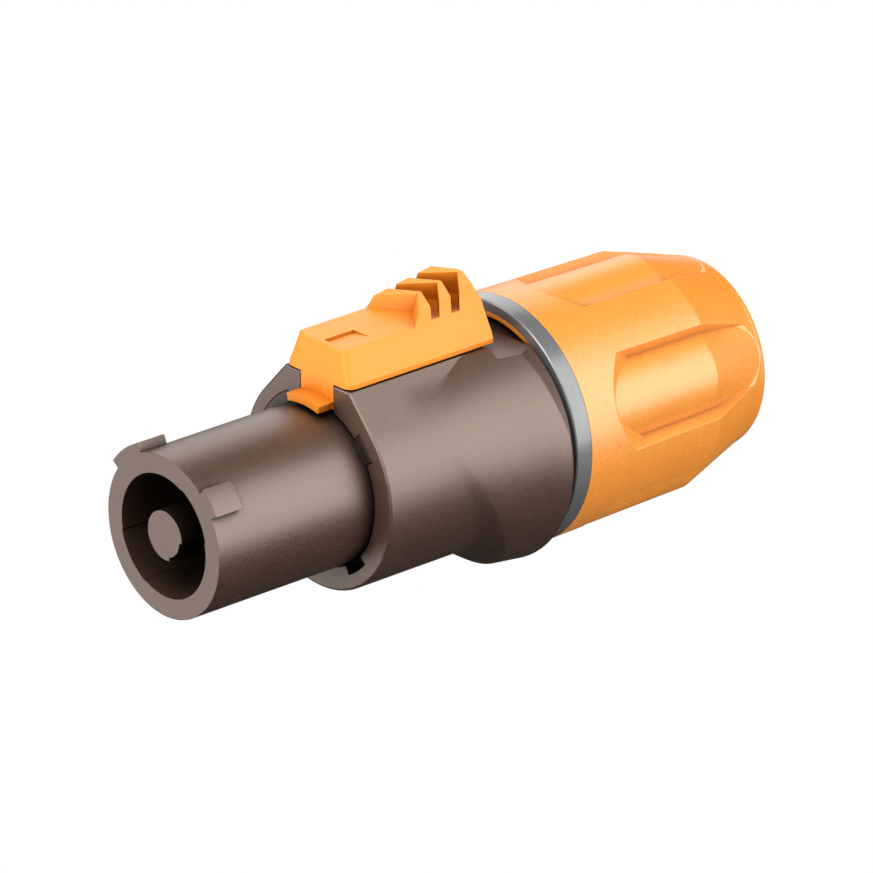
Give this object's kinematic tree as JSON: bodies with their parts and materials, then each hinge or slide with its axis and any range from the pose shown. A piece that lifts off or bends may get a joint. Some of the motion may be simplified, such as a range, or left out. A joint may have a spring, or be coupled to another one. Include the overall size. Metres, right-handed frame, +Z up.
{
  "type": "power cable connector",
  "caption": "Twist-lock power plug for a cable: round nose with a deep ring-shaped socket and lugs, sliding thumb latch, trim ring and panelled clamp nut.",
  "frame": {"origin": "centre of the nose's front face, on the connector's axis", "axes": "+X from the nose along the axis to the cable end, +Z up through the latch, -Y to the side seen in the picture"},
  "size_m": [0.0838, 0.0318, 0.0371],
  "materials": {
    "body_plastic": "fine moulded texture, grey-brown",
    "nose_plastic": "smooth satin, grey-brown",
    "latch_plastic": "smooth satin, orange-yellow",
    "nut_plastic": "fine moulded texture, orange",
    "ring_metal": "satin turned metal",
    "contact_brass": "bright stamped brass",
    "terminal_brass": "machined brass",
    "screw_steel": "zinc plated",
    "spring_steel": "drawn wire",
    "collet_plastic": "dark glass-filled nylon",
    "seal_rubber": "black rubber"
  },
  "bodies": {
    "housing": {"housing_shell": "body_plastic", "nose_insert": "nose_plastic", "contact_line": "contact_brass", "contact_neutral": "contact_brass", "contact_earth": "contact_brass", "terminal_line": "terminal_brass", "terminal_neutral": "terminal_brass", "terminal_earth": "terminal_brass", "wire_plate_line": "spring_steel", "wire_plate_neutral": "spring_steel", "wire_plate_earth": "spring_steel", "terminal_screws": "screw_steel", "latch_spring": "spring_steel", "cable_collet": "collet_plastic", "cable_seal": "seal_rubber", "insert_o_ring": "seal_rubber", "nut_o_ring": "seal_rubber"},
    "latch": {"latch_slide": "latch_plastic"},
    "ring": {"trim_ring": "ring_metal"},
    "nut": {"clamp_nut": "nut_plastic"}
  },
  "joints": [
    {"name": "latch_pull", "type": "slide", "parent": "housing", "child": "latch", "axis": [1, 0, 0], "range_m": [0, 0.003], "stiffness_N_per_m": 400, "springref_m": -0.002, "deforming": ["latch_spring"]},
    {"name": "nut_travel", "type": "slide", "parent": "housing", "child": "ring", "axis": [1, 0, 0], "range_m": [0, 0.00751]},
    {"name": "nut_turn", "type": "hinge", "parent": "ring", "child": "nut", "pos_m": [0.065, 0, 0], "axis": [1, 0, 0], "range_deg": [0, 1080]}
  ],
  "couplings": [
    {"joint": "nut_travel", "follows": "nut_turn", "m_per_rad": 0.00039789}
  ]
}
